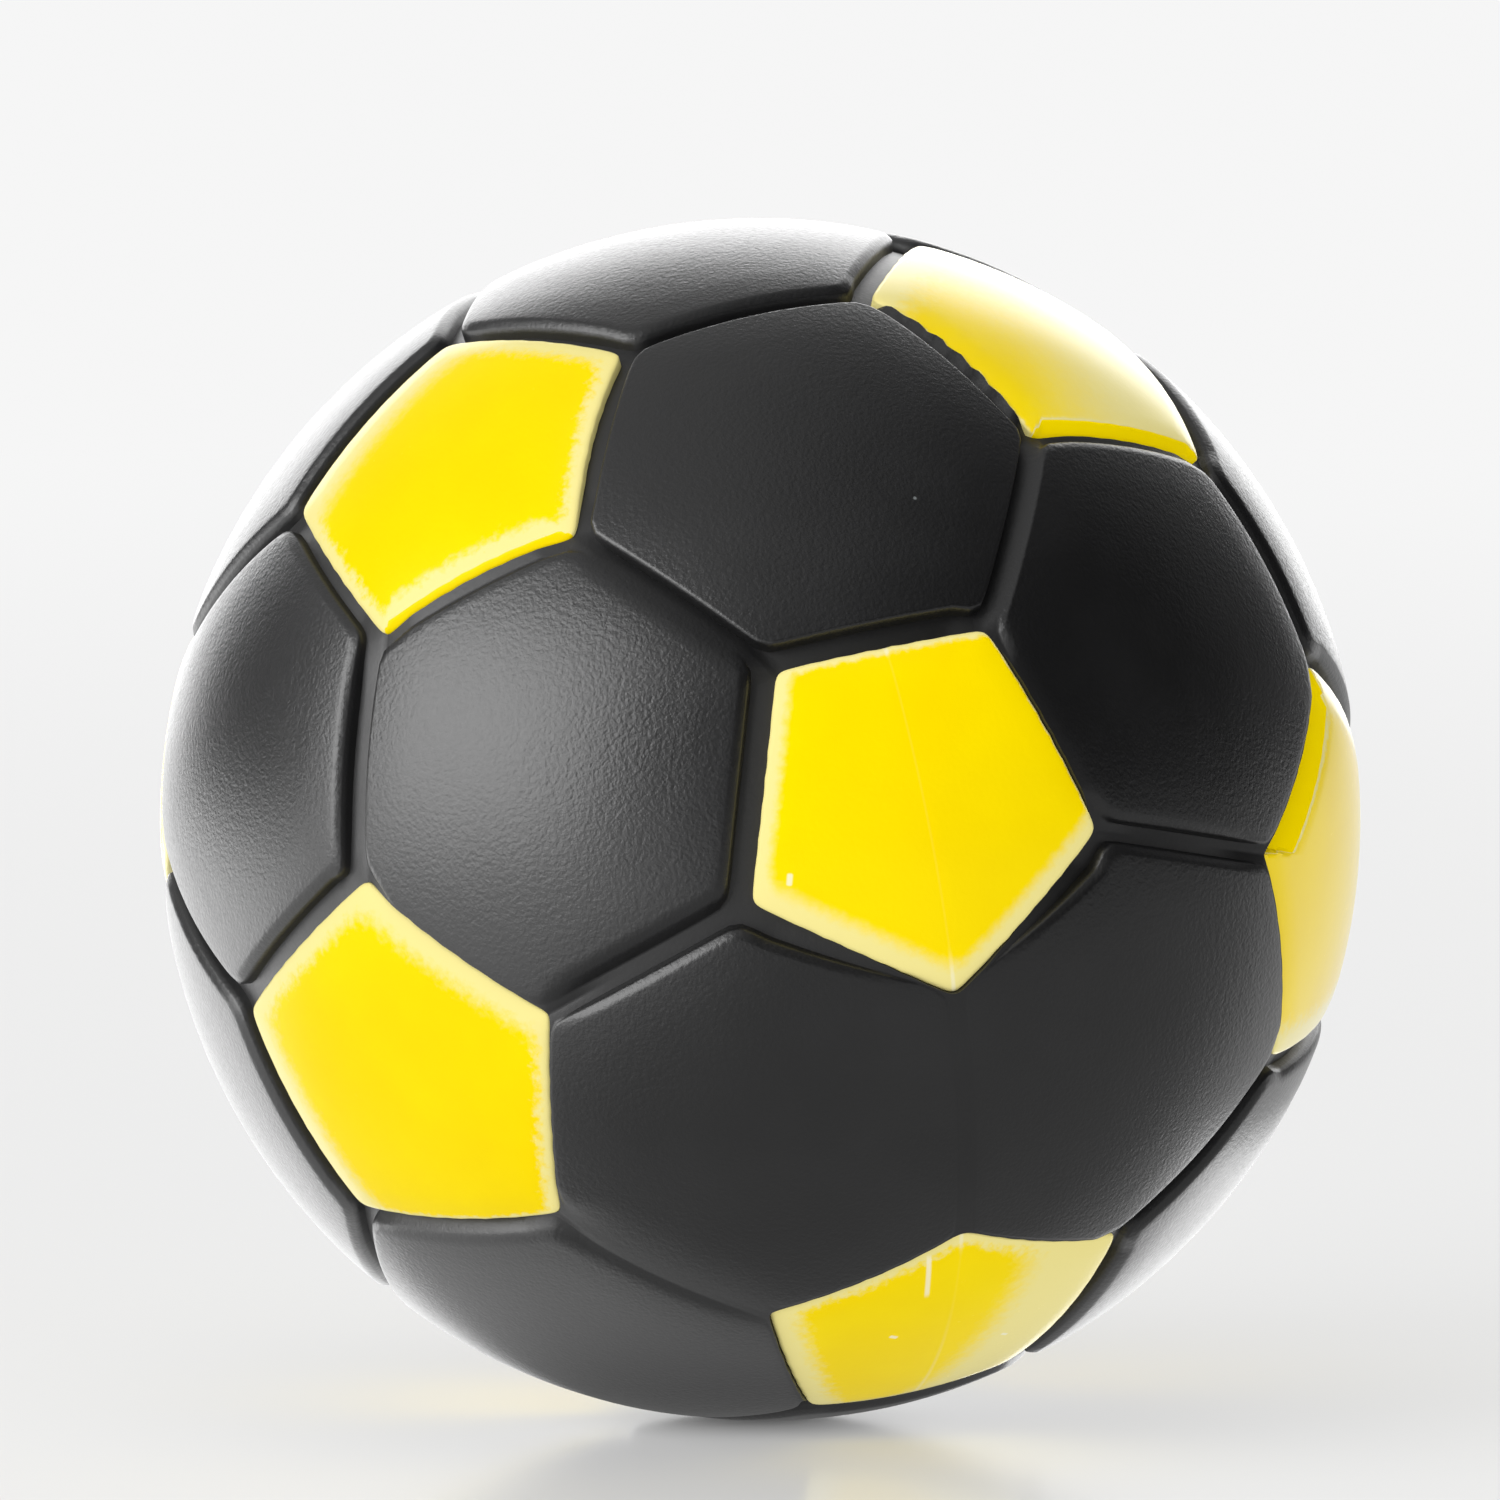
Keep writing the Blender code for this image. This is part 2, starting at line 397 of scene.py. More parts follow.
def core_grid(pad):
    """One pad and the core round it, out to halfway to the neighbours, in rows round the pad's axis.

    The face drops as a square towards its outline, a chamfer takes off what lies within its width of a
    side, and the edge drops as a quarter of an ellipse. The side goes straight down to the core's sphere,
    which runs out to the plane between the pad and its nearest neighbour, in even directions there.
    """
    turns = pad_turns(pad_corner_turns[pad])
    even_turns = pad_turns(np.arange(SIDES) * SIDE_TURN)
    outline = outline_angles(pad) - FIT_GAP / BALL_RADIUS
    face = np.linspace(0, RIM_START, FACE_ROWS, endpoint=False)
    rim = RIM_START + (1 - RIM_START) * np.sin(np.linspace(0, math.pi / 2, RIM_ROWS))
    face_angles = np.concatenate([face, rim])[:, None] * outline
    face_points = pad_points(pad, face_angles, turns[None])
    depth = pad_depth(pad, face_points) - FIT_GAP
    crown = CROWN_DROP * (1 - np.clip(depth / CROWN_WIDTH, 0, 1)) ** 2
    edge = RIM_DROP * (1 - np.sqrt(1 - (1 - np.clip(depth / RIM_WIDTH, 0, 1)) ** 2))
    chamfer = np.clip(side_chamfers(pad, face_points) - inside_pad(pad, face_points), 0, None).max(axis=-1)
    face_radii = FACE_RADIUS - crown - edge - CHAMFER_SLOPE * chamfer
    down = (np.arange(SIDE_ROWS) + 1)[:, None] / SIDE_ROWS
    side_radii = (1 - down) * face_radii[-1] + down * CORE_RADIUS
    side_angles = np.broadcast_to(outline, side_radii.shape)
    to_neighbour = (even_turns + SIDE_TURN / 2) % SIDE_TURN - SIDE_TURN / 2
    neighbour_sine = math.sqrt(1 - NEIGHBOUR_COSINE**2)
    base_end = np.arctan((1 - NEIGHBOUR_COSINE) / (neighbour_sine * np.cos(to_neighbour)))
    base = (np.arange(BASE_ROWS) + 1)[:, None] / BASE_ROWS
    base_angles = outline + base * (base_end - outline)
    base_turns = turns + base * (even_turns - turns)
    angles = np.vstack([face_angles, side_angles, base_angles])
    row_turns = np.vstack([np.broadcast_to(turns, (len(angles) - BASE_ROWS, len(turns))), base_turns])
    radii = np.vstack([face_radii, side_radii, np.full_like(base_angles, CORE_RADIUS)])
    finish = np.zeros((*radii.shape, len(CORE_FINISH)))
    finish[: len(face_radii), :, :-1] = pale_band(pad, face_points)
    finish[: len(face_radii), :, -1] = pad_gloss[pad]
    return pad_points(pad, angles, row_turns) * radii[..., None], finish


def grid_triangles(rows, columns, wraps):
    """Two triangles for each cell of a grid. One that wraps joins its last column to its first."""
    corner = np.arange(rows * columns).reshape(rows, columns)
    right = np.roll(corner, -1, axis=1)
    if not wraps:
        corner = corner[:, :-1]
        right = right[:, :-1]
    quads = np.stack([corner[:-1], corner[1:], right[1:], right[:-1]], axis=-1).reshape(-1, 4)
    return np.vstack([quads[:, [0, 1, 2]], quads[:, [0, 2, 3]]])


# Points within the weld's length of each other become one, and edges that turn by more than the sharp turn,
# in degrees, are shaded sharp
WELD = 1e-6
SHARP_TURN = 50


def new_piece(name, grids, attributes, material):
    """One closed mesh of many grids: points in one place become one, and triangles with no area go.

    Each grid has its points, the values of the attributes at each point, and whether it wraps.
    """
    points = np.vstack([grid.reshape(-1, 3) for grid, _, _ in grids])
    values = np.vstack([value.reshape(-1, len(attributes)) for _, value, _ in grids])
    starts = np.cumsum([0] + [grid[..., 0].size for grid, _, _ in grids[:-1]])
    triangles = np.vstack(
        [start + grid_triangles(*grid.shape[:2], wraps) for start, (grid, _, wraps) in zip(starts, grids)]
    )
    places = np.round(points / WELD).astype(np.int64)
    _, kept, welded = np.unique(places, axis=0, return_index=True, return_inverse=True)
    triangles = welded.ravel()[triangles]
    first, second, third = triangles.T
    triangles = triangles[(first != second) & (second != third) & (third != first)]
    mesh = bpy.data.meshes.new(name)
    mesh.from_pydata(points[kept], [], triangles)
    for attribute, value in zip(attributes, values[kept].T):
        mesh.attributes.new(attribute, "FLOAT", "POINT").data.foreach_set("value", value.astype(np.float32))
    mesh.shade_smooth()
    mesh.set_sharp_from_angle(angle=math.radians(SHARP_TURN))
    mesh.materials.append(material)
    piece = bpy.data.objects.new(name, mesh)
    bpy.context.scene.collection.objects.link(piece)
    return piece


class Field:
    """A value that varies over a surface. Each operator adds a Math node to the material's tree."""

    def __init__(self, socket):
        self.socket = socket
        self.tree = socket.id_data

    def node(self, kind, settings, sockets, output=0):
        """A new node of one type: its settings come first, then its sockets' values or links."""
        node = self.tree.nodes.new(kind)
        for name, value in settings.items():
            setattr(node, name, value)
        for name, value in sockets.items():
            if isinstance(value, Field):
                self.tree.links.new(value.socket, node.inputs[name])
            else:
                node.inputs[name].default_value = value
        return Field(node.outputs[output])

    def math(self, operation, first, second=0.0):
        """A Math node's operation on one value or two."""
        return self.node("ShaderNodeMath", {"operation": operation}, {0: first, 1: second})

    def __add__(self, other):
        return self.math("ADD", self, other)

    def __radd__(self, other):
        return self.math("ADD", other, self)

    def __sub__(self, other):
        return self.math("SUBTRACT", self, other)

    def __rsub__(self, other):
        return self.math("SUBTRACT", other, self)

    def __mul__(self, other):
        return self.math("MULTIPLY", self, other)

    def __rmul__(self, other):
        return self.math("MULTIPLY", other, self)

    def __abs__(self):
        return self.math("ABSOLUTE", self)

    def rise(self, low, high):
        """0 below low, 1 above high, and a smooth step between them."""
        return self.node(
            "ShaderNodeMapRange",
            {"interpolation_type": "SMOOTHSTEP"},
            {"Value": self, "From Min": low, "From Max": high},
        )

    def mix(self, none, full):
        """A colour that goes from one to another as the value goes from 0 to 1.

        A Mix node takes its two colours at sockets 6 and 7, and gives the mixed one at output 2.
        """
        return self.node("ShaderNodeMix", {"data_type": "RGBA"}, {0: self, 6: none, 7: full}, 2)

    def noise(self, size, detail, roughness=0.5):
        """Cloudy noise about 0.5 over a position, whose blobs are about one size across."""
        sockets = {"Vector": self, "Scale": 1 / size, "Detail": detail, "Roughness": roughness}
        return self.node("ShaderNodeTexNoise", {}, sockets)

    def along(self, direction):
        """How far a position lies along a direction."""
        settings = {"operation": "DOT_PRODUCT"}
        return self.node("ShaderNodeVectorMath", settings, {0: self, 1: direction}, "Value")

    def attribute(self, name):
        """The value of one of the mesh's own attributes."""
        return self.node("ShaderNodeAttribute", {"attribute_name": name}, {}, "Fac")

    def distance(self, place):
        """How far a position lies from a place."""
        settings = {"operation": "DISTANCE"}
        return self.node("ShaderNodeVectorMath", settings, {0: self, 1: place}, "Value")


def new_material(name):
    """An empty material, its shader node and the field of positions on the object."""
    material = bpy.data.materials.new(name)
    material.use_nodes = True
    tree = material.node_tree
    shader = tree.nodes["Principled BSDF"]
    return material, shader, Field(tree.nodes.new("ShaderNodeTexCoord").outputs["Object"])


def feed(shader, **fields):
    """Links fields to the shader's sockets, whose names have underscores for spaces here."""
    for name, field in fields.items():
        field.tree.links.new(field.socket, shader.inputs[name.replace("_", " ")])


def raised(height, most, strength):
    """The normals of a surface that a height from 0 to 1 raises by up to a distance."""
    sockets = {"Strength": strength, "Distance": most, "Height": height}
    return height.node("ShaderNodeBump", {}, sockets)


YELLOW = (0.95, 0.72, 0.0, 1)
YELLOW_SHADE = (0.92, 0.68, 0.0, 1)
# The pale band's colour: the plastic's own pale rim, and painted reflection where a band is widened
PALE_RIM_AND_REFLECTION = (0.85, 0.76, 0.31, 1)
# Pale white for the scuffs and the parting line, and for the painted highlight where the line flares
MARK_AND_GLINT_WHITE = (0.9, 0.9, 0.8, 1)

# Small scuffs on the front pad and the lower one: the directions of their two ends, and their width
SCUFFS = (
    ((0.047, -0.9989, -0.003), (0.046, -0.9989, -0.014), 0.00022),
    ((0.2138, -0.5677, -0.795), (0.22, -0.563, -0.797), 0.0002),
    ((0.2733, -0.7125, -0.6462), (0.2696, -0.6389, -0.7205), 0.0002),
    ((0.3966, -0.4374, -0.8071), (0.403, -0.428, -0.809), 0.00014),
)
SCUFF_EDGE = (0.2, 0.5)
SCUFF_FADE = 0.7
SCUFF_COVER = 0.6

# The moulds' parting line lies a little to one side of their plane. Where it crosses the pale band a
# painted highlight flares from it, standing for a glint at the pad's rounded edge
PARTING_SHIFT = 0.00014
LINE_EDGE = (0.00001, 0.00005)
LINE_COVER = 0.015
PARTING_GLINT_EDGE = (0.00002, 0.00009)
PARTING_GLINT_FADE = (0.3, 1.2)
PARTING_GLINT_COVER = 0.35

# The plastic's cloudy shades, its orange peel, and the patches that make a pale band ragged and less glossy
CLOUD_SIZE = 0.004
CLOUD_EDGE = (0.35, 0.7)
PEEL_SIZE = 0.00018
PEEL_HEIGHT = 0.00002
PEEL_STRENGTH = 0.2
PATCH_SIZE = 0.00024
PATCH_CONTRAST = 0.6
PATCH_REACH = 1.8
PATCH_ROUGHNESS = 0.16
PALE_EDGE = 0.7
PALE_COVER = 0.92
FACE_EDGE = (-0.1, 0)
YELLOW_ROUGHNESS = 0.16
YELLOW_SPECULAR = 0.05
COAT_ROUGHNESS = 0.35


def scuff(place, start, end, width):
    """A mark on the arc between two directions from the ball's centre: 1 on it, 0 beyond half the width."""
    start, end = np.array(start), np.array(end)
    reach = BALL_RADIUS * np.linalg.norm(end - start) / 2 + width / 2
    from_arc = abs(place.along(unit(np.cross(start, end))))
    from_middle = place.distance(BALL_RADIUS * unit(start + end))
    across = 1 - from_arc.rise(SCUFF_EDGE[0] * width, SCUFF_EDGE[1] * width)
    return across * (1 - from_middle.rise(SCUFF_FADE * reach, reach))


def yellow_plastic():
    """Glossy yellow with a fine orange peel, a pale ragged band round each pad, and the parting line.

    The band is partly the plastic's own pale rim and partly painted reflection, and a painted highlight
    flares from the line where it crosses the band.
    """
    material, shader, place = new_material("yellow_plastic")
    shader.inputs["Specular IOR Level"].default_value = YELLOW_SPECULAR
    shader.inputs["Coat Roughness"].default_value = COAT_ROUGHNESS
    band = place.attribute("pale_place")
    cloud = place.noise(CLOUD_SIZE, detail=3)
    peel = place.noise(PEEL_SIZE, detail=2)
    patches = place.noise(PATCH_SIZE, detail=4, roughness=PATCH_CONTRAST)
    wander = PATCH_REACH * place.attribute("pale_ragged") * (patches - 0.5)
    blur = place.attribute("pale_blur")
    on_face = band.rise(*FACE_EDGE)
    pale = (1 - (band + wander).rise(PALE_EDGE - blur, PALE_EDGE + blur)) * on_face
    gloss = place.attribute("gloss") * on_face
    from_line = abs(place.along(parting_normal) + PARTING_SHIFT)
    line = 1 - from_line.rise(*LINE_EDGE)
    parting_glint = (1 - from_line.rise(*PARTING_GLINT_EDGE)) * (1 - band.rise(*PARTING_GLINT_FADE))
    colour = cloud.rise(*CLOUD_EDGE).mix(YELLOW_SHADE, YELLOW)
    # The pale band: the plastic's own pale rim, with painted reflection where a side's band is widened
    colour = (pale * PALE_COVER).mix(colour, PALE_RIM_AND_REFLECTION)
    # The parting line's faint mark, and a painted highlight where it flares over the pale band
    colour = (line * LINE_COVER + parting_glint * PARTING_GLINT_COVER).mix(colour, MARK_AND_GLINT_WHITE)
    for start, end, width in SCUFFS:
        colour = (scuff(place, start, end, width) * SCUFF_COVER).mix(colour, MARK_AND_GLINT_WHITE)
    roughness = YELLOW_ROUGHNESS + PATCH_ROUGHNESS * patches
    bump = raised(peel, PEEL_HEIGHT, PEEL_STRENGTH)
    feed(shader, Base_Color=colour, Roughness=roughness, Normal=bump, Coat_Weight=gloss)
    return material


yellow_core = new_piece(
    "yellow_core_moulding",
    [(*core_grid(pad), True) for pad in range(PAD_COUNT)],
    CORE_FINISH,
    yellow_plastic(),
)
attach(yellow_core, "root")
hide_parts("yellow_core")


# Black skin
# The second moulding is a shell of satin black plastic over the core, with a window round each pad. Grooves
# cut it into twenty six-sided panels with a fine leather grain. The two panels below the front pad have no
# groove between them.

SKIN_INNER_RADIUS = 0.0151

# A groove's section: a flat floor, a steep wall, and a bevel that rounds over onto the panel. The panel is
# a little lower near its edges.
GROOVE_DEPTH = 0.0005
GROOVE_FLOOR = 0.0005
PAD_GROOVE = 0.00065
WALL_WIDTH = 0.00007
SOFT_WALL_WIDTH = 0.0003
BEVEL_WIDTH = 0.0003
BEVEL_SHARE = 0.32
BEVEL_POWER = 1.7
SHARP_BEVEL_WIDTH = 0.00008
SHARP_BEVEL_SHARE = 0.12
PANEL_CORNER = 0.00012
PILLOW_DROP = 0.00003
PILLOW_WIDTH = 0.0016

# A groove may be shallow or closed, and its floor may slope up onto one panel, or up to a pad's face
SHALLOW_SEAM = 0.18
CLOSED = 0.04
FLUSH = 0.2
DEPTH_BLEND = 0.0003
FLASH_WIDTH = 0.0006
FLASH_FADE = 0.1
FLASH_MOST = 0.93

# Points along a seam between two pads' corners, and rows of the skin's inside and of its window walls
SEAM_POINTS = 16
INNER_ROWS = 4
WALL_ROWS = 3

# Rows over a panel's middle, its lowered edge, its bevel, its wall and its half of the groove's floor
PANEL_ROWS = (5, 6, 7, 2, 5)
LEAST_ROWS = 0.002
ROW_HALVINGS = 30

UPPER_PANEL = frozenset({FRONT, UPPER_LEFT, UPPER_RIGHT})
LEFT_PANEL = frozenset({FRONT, UPPER_LEFT, LOWER_LEFT})
RIGHT_PANEL = frozenset({FRONT, UPPER_RIGHT, RIGHT})
LEFT_SEAM = frozenset({UPPER_LEFT, LOWER_LEFT})
LOWER_LEFT_SEAM = frozenset({FRONT, LOWER_LEFT})
SOFT_SEAM = frozenset({LOWER, LOWER_LEFT})
SOFT_PAD_SIDES = ((RIGHT_PANEL, FRONT), (SOFT_SEAM | {LOWER_FAR}, LOWER_LEFT))

# The groove at the left lies on one side of its seam: how far each panel's wall stands from it
seam_floors = {(LEFT_PANEL, LEFT_SEAM): 0.00005, (LEFT_SEAM | {LEFT_FAR}, LEFT_SEAM): 0.0008}
seam_shares = {frozenset({FRONT, LOWER}): 0, SOFT_SEAM: SHALLOW_SEAM}

# Grooves whose floor slopes up onto one panel, how far onto it, and the power of the slope's curve
seam_slopes = {
    frozenset({FRONT, UPPER_LEFT}): (LEFT_PANEL, 0.0006, 1.6),
    frozenset({FRONT, UPPER_RIGHT}): (RIGHT_PANEL, 0.0002, 1.0),
    SOFT_SEAM: (SOFT_SEAM | {FRONT}, 0.0022, 2.0),
}

# How wide and how deep the groove along each pad's side is, as shares, near the side's start and near its
# end, and how far along the side those are
side_widths = np.ones((PAD_COUNT, SIDES, 2))
side_depths = np.ones((PAD_COUNT, SIDES, 2))
NEAR_SIDE_END = 0.16


def shape_groove(pad, first, second, width, depth):
    """Sets the groove along a pad's side that faces the panel between it and two neighbours."""
    side = side_towards(pad, first, second)
    side_widths[pad, side] = width
    side_depths[pad, side] = depth


shape_groove(LOWER, FRONT, LOWER_LEFT, CLOSED, CLOSED)
shape_groove(LOWER, FRONT, RIGHT, CLOSED, CLOSED)
shape_groove(LOWER, LOWER_LEFT, LOWER_FAR, CLOSED, CLOSED)
shape_groove(LOWER_LEFT, FRONT, LOWER, CLOSED, CLOSED)
shape_groove(LOWER_LEFT, FRONT, UPPER_LEFT, CLOSED, CLOSED)
shape_groove(LOWER_LEFT, LOWER, LOWER_FAR, 0.25, 1)
shape_groove(RIGHT, FRONT, LOWER, CLOSED, CLOSED)
shape_groove(RIGHT, FRONT, UPPER_RIGHT, CLOSED, CLOSED)
shape_groove(UPPER_LEFT, FRONT, UPPER_RIGHT, 0.6, 0.8)
shape_groove(UPPER_LEFT, FRONT, LOWER_LEFT, 0.5, FLUSH)
shape_groove(UPPER_LEFT, UPPER_RIGHT, UPPER_FAR, 0.8, 1)
shape_groove(UPPER_LEFT, LEFT_FAR, LOWER_LEFT, 0.6, 0.8)
shape_groove(UPPER_RIGHT, FRONT, RIGHT, 0.4, 0.4)
shape_groove(UPPER_RIGHT, FRONT, UPPER_LEFT, 0.5, 1)
shape_groove(LEFT_FAR, UPPER_LEFT, LOWER_LEFT, CLOSED, CLOSED)
shape_groove(FRONT, RIGHT, UPPER_RIGHT, CLOSED, CLOSED)
shape_groove(FRONT, LOWER, RIGHT, (CLOSED, 1), (CLOSED, 1))
shape_groove(FRONT, LOWER_LEFT, LOWER, (1, CLOSED), (1, CLOSED))

pad_outlines = [
    pad_points(pad, outline_angles(pad), pad_turns(pad_corner_turns[pad])) for pad in range(PAD_COUNT)
]
hexagons = [
    pads if np.linalg.det(pad_axes[list(pads)]) > 0 else pads[::-1]
    for pads in itertools.combinations(range(PAD_COUNT), 3)
    if all(second in pad_neighbours[first] for first, second in itertools.combinations(pads, 2))
]


def pad_corner(pad, neighbour):
    """The corner of a pad's outline that points to a neighbour."""
    return pad_outlines[pad][pad_neighbours[pad].index(neighbour) * PAD_SIDE_POINTS]


def pad_side(pad, start, end):
    """A pad's outline from its corner at one neighbour to its corner at the next one clockwise."""
    first = pad_neighbours[pad].index(end) * PAD_SIDE_POINTS
    return np.roll(pad_outlines[pad], -first, axis=0)[PAD_SIDE_POINTS:0:-1]


def panel_rim(hexagon):
    """Round a panel: along each seam between two pads, then along the side of the second pad."""
    stretches = []
    for shift in range(len(hexagon)):
        first, second, third = np.roll(hexagon, -shift)
        share = np.linspace(0, 1, SEAM_POINTS, endpoint=False)[:, None]
        seam = (1 - share) * pad_corner(first, second) + share * pad_corner(second, first)
        stretches += [unit(seam), pad_side(second, first, third)]
    return np.vstack(stretches)


def along_sides(shares, pad, points):
    """A share of the groove round a pad at points: even along the sides, and blended at the corners."""
    starts = pad_corner_turns[pad]
    shares_along = np.array([NEAR_SIDE_END, 1 - NEAR_SIDE_END])
    knots = starts[:, None] + shares_along * (side_ends(starts) - starts)[:, None]
    return np.interp(turns_round(pad, points), knots.ravel(), shares[pad].ravel(), period=2 * math.pi)


def panel_edges(hexagon, points):
    """How far points lie inside a panel's edges, from the feet of their walls, and how deep the groove is.

    Three edges run along seams, which are great circles through two pads' corners. Three run along pads'
    sides, as far from them as the groove there is wide. Near a corner two grooves' depths are blended.
    """
    lines = []
    distances = []
    depths = []
    for first, second in itertools.combinations(hexagon, 2):
        seam = frozenset({first, second})
        across = unit(np.cross(pad_corner(first, second), pad_corner(second, first)))
        lines.append(BALL_RADIUS * np.arcsin(np.abs(points @ across)))
        distances.append(lines[-1] - seam_floors.get((frozenset(hexagon), seam), GROOVE_FLOOR / 2))
        depths.append(np.full(points.shape[:-1], seam_shares.get(seam, 1)))
    for pad in hexagon:
        margins = straight_margins(pad, turns_round(pad, points))
        outside = -soft_least(inside_sides(pad, points) - margins, CORNER_SOFTNESS)
        lines.append(outside - PAD_MARGIN)
        distances.append(outside - PAD_GROOVE * along_sides(side_widths, pad, points))
        depths.append(along_sides(side_depths, pad, points))
    lines = np.stack(lines, axis=-1)
    weights = np.exp((soft_least(lines, DEPTH_BLEND)[..., None] - lines) / DEPTH_BLEND)
    return np.stack(distances, axis=-1), (weights * np.stack(depths, axis=-1)).sum(axis=-1)


def flash_rise(pad, points):
    """How far black plastic has crept up to a pad's face: evenly to the pad, and fading at its corners."""
    share = side_places(pad, turns_round(pad, points))
    fade = smooth(np.minimum(share, 1 - share) / FLASH_FADE)
    near = np.clip(1 + pad_depth(pad, points) / FLASH_WIDTH, 0, 1)
    return np.minimum((pad_sides[pad]["flash"] * fade).sum(axis=-1) * near, FLASH_MOST)


def panel_radius(hexagon, points):
    """The panel's outer radius at unit points, and how deep in a groove they are, from 0 to 1.

    The wall rises evenly from the groove's floor, and the bevel as a power of the distance left to its end.
    A floor that slopes rises as a power from the far wall's foot. Near a corner the forms of two edges are
    blended.
    """
    distances, depth = panel_edges(hexagon, points)
    distance = soft_least(distances, PANEL_CORNER)
    weights = np.exp((distance[..., None] - distances) / PANEL_CORNER)
    panel = frozenset(hexagon)
    seams = [frozenset(seam) for seam in itertools.combinations(hexagon, 2)]
    sharp = np.full(2 * len(seams), panel == UPPER_PANEL)
    sharp[: len(seams)] |= [panel == LEFT_PANEL and seam == LEFT_SEAM for seam in seams]
    soft = np.zeros(len(sharp))
    soft[: len(seams)] = [
        seam == SOFT_SEAM or panel == LEFT_PANEL and seam == LOWER_LEFT_SEAM for seam in seams
    ]
    soft[len(seams) :] = [(panel, pad) in SOFT_PAD_SIDES for pad in hexagon]
    sharpness = weights @ sharp.astype(float)
    bevel_width = BEVEL_WIDTH + (SHARP_BEVEL_WIDTH - BEVEL_WIDTH) * sharpness
    bevel_share = BEVEL_SHARE + (SHARP_BEVEL_SHARE - BEVEL_SHARE) * sharpness
    wall_width = WALL_WIDTH + (SOFT_WALL_WIDTH - WALL_WIDTH) * (weights @ soft)
    left = 1 - np.clip((distance - wall_width) / bevel_width, 0, 1)
    wall = (1 - bevel_share) * np.clip(distance / wall_width, 0, 1)
    rise = wall + bevel_share * (1 - left**BEVEL_POWER)
    for number, seam in enumerate(seams):
        if seam in seam_slopes:
            high_panel, width, power = seam_slopes[seam]
            up = high_panel == panel
            from_foot = distances[..., number] + GROOVE_FLOOR if up else -distances[..., number]
            slope = 1 - (1 - np.clip(from_foot / (GROOVE_FLOOR + width), 0, 1)) ** power
            slope = slope if up else np.maximum(slope, rise)
            rise = rise + weights[..., number] * (slope - rise)
    for pad in hexagon:
        rise = np.maximum(rise, flash_rise(pad, points))
    pillow = (1 - np.clip((distance - WALL_WIDTH) / PILLOW_WIDTH, 0, 1)) ** 2
    return BALL_RADIUS - depth * (GROOVE_DEPTH * (1 - rise) + PILLOW_DROP * pillow), 1 - rise


def panel_shares(hexagon, middle, reach):
    """Shares of the way from a panel's middle to its rim, in rows that follow its bevel's and wall's edges.

    Where a row lies on each way is halved down to where the distance to the panel's edges is that row's.
    """
    levels = np.array([PILLOW_WIDTH, BEVEL_WIDTH + WALL_WIDTH, WALL_WIDTH, 0])[:, None]
    low = np.zeros((len(levels), len(reach)))
    high = np.ones_like(low)
    for _ in range(ROW_HALVINGS):
        share = (low + high) / 2
        distances, _ = panel_edges(hexagon, unit(middle + share[..., None] * reach))
        inside = soft_least(distances, PANEL_CORNER) > levels
        low = np.where(inside, share, low)
        high = np.where(inside, high, share)
    most = 1 - LEAST_ROWS * np.arange(len(levels), 0, -1)[:, None]
    high = np.maximum.accumulate(np.minimum(high, most), axis=0)
    stops = np.vstack([np.zeros_like(high[:1]), high, np.ones_like(high[:1])])
    rows = [stops[:1]]
    for start, end, count in zip(stops, stops[1:], PANEL_ROWS):
        steps = (np.arange(count) + 1)[:, None] / count
        rows.append(start + steps * (end - start))
    return np.vstack(rows)


def panel_grids(hexagon):
    """A panel's outer face, its inner face, and the window walls that join them along the pads' sides.

    Rows run from the panel's middle to its rim, along straight lines in the plane that touches the sphere
    at the middle.
    """
    middle = unit(pad_axes[list(hexagon)].sum(axis=0))
    rim = panel_rim(hexagon)
    reach = rim / (rim @ middle)[:, None] - middle
    outer = unit(middle + panel_shares(hexagon, middle, reach)[..., None] * reach)
    radius, groove = panel_radius(hexagon, outer)
    inner_shares = np.linspace(1, 0, INNER_ROWS)
    inner = unit(middle + inner_shares[:, None, None] * reach)
    grids = [
        (outer * radius[..., None], groove, True),
        (inner * SKIN_INNER_RADIUS, np.ones(inner.shape[:-1]), True),
    ]
    stretch = SEAM_POINTS + PAD_SIDE_POINTS
    for shift in range(len(hexagon)):
        columns = (np.arange(SEAM_POINTS, stretch + 1) + shift * stretch) % len(rim)
        down = np.linspace(0, 1, WALL_ROWS)[:, None]
        wall_radius = (1 - down) * radius[-1, columns] + down * SKIN_INNER_RADIUS
        grids.append((rim[columns] * wall_radius[..., None], np.ones(wall_radius.shape), False))
    return grids


BLACK = (0.005, 0.005, 0.0053, 1)
BLACK_WORN = (0.008, 0.008, 0.0084, 1)
DUST = (0.35, 0.38, 0.38, 1)

# The plastic's worn clouds, its grain with finer pores, and the cells of which a few hold a speck of dust
WORN_SIZE = 0.005
WORN_ROUGHNESS = 0.06
GRAIN_SIZE = 0.00014
GRAIN_HEIGHT = 0.00005
GRAIN_STRENGTH = 0.3
GRAIN_ROUGHNESS = 0.12
PORE_SIZE = 0.00009
PORE_SHARE = 0.5
DUST_CELLS = 450.0
DUST_EDGE = (0.02, 0.045)
DUST_PICK = (0.93, 0.94)
BLACK_IOR = 1.8
BLACK_ROUGHNESS = 0.26
GROOVE_ROUGHNESS = 0.12
GROOVE_SMOOTHNESS = 0.7


